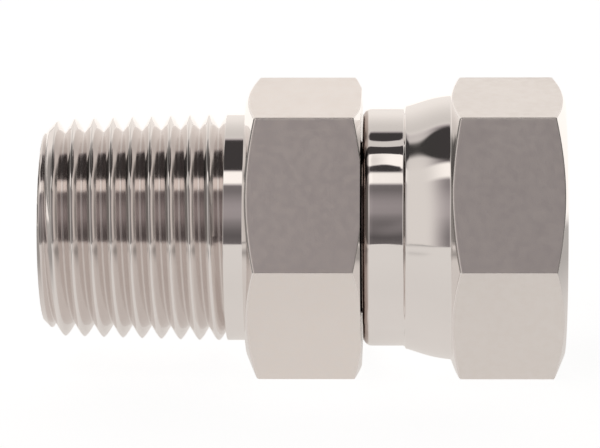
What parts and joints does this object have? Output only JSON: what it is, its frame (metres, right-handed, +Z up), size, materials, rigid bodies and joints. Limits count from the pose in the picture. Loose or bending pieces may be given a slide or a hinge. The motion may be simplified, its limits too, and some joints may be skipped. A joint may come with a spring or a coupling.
{
  "type": "swivel adapter",
  "caption": "Straight pipe adapter with a tapered male thread, a hexagonal body, and a crimped swivel nut with an internal straight thread over a cone nose.",
  "frame": {"origin": "middle of the whole length, on the plane that both hexagons lie on", "axes": "+X along the common axis from the male thread towards the nut's mouth, +Z up from the flats it lies on, +Y away from the viewer of the picture"},
  "size_m": [0.049, 0.0294, 0.0254],
  "materials": {
    "plated_steel": "bright plated, satin on the hexagon flats"
  },
  "bodies": {
    "body": {"adapter_body": "plated_steel"},
    "nut": {"swivel_nut": "plated_steel"}
  },
  "joints": [
    {"name": "nut_swivel", "type": "hinge", "parent": "body", "child": "nut", "pos_m": [0.0129, 0, 0.0127], "axis": [1, 0, 0], "continuous": true}
  ]
}
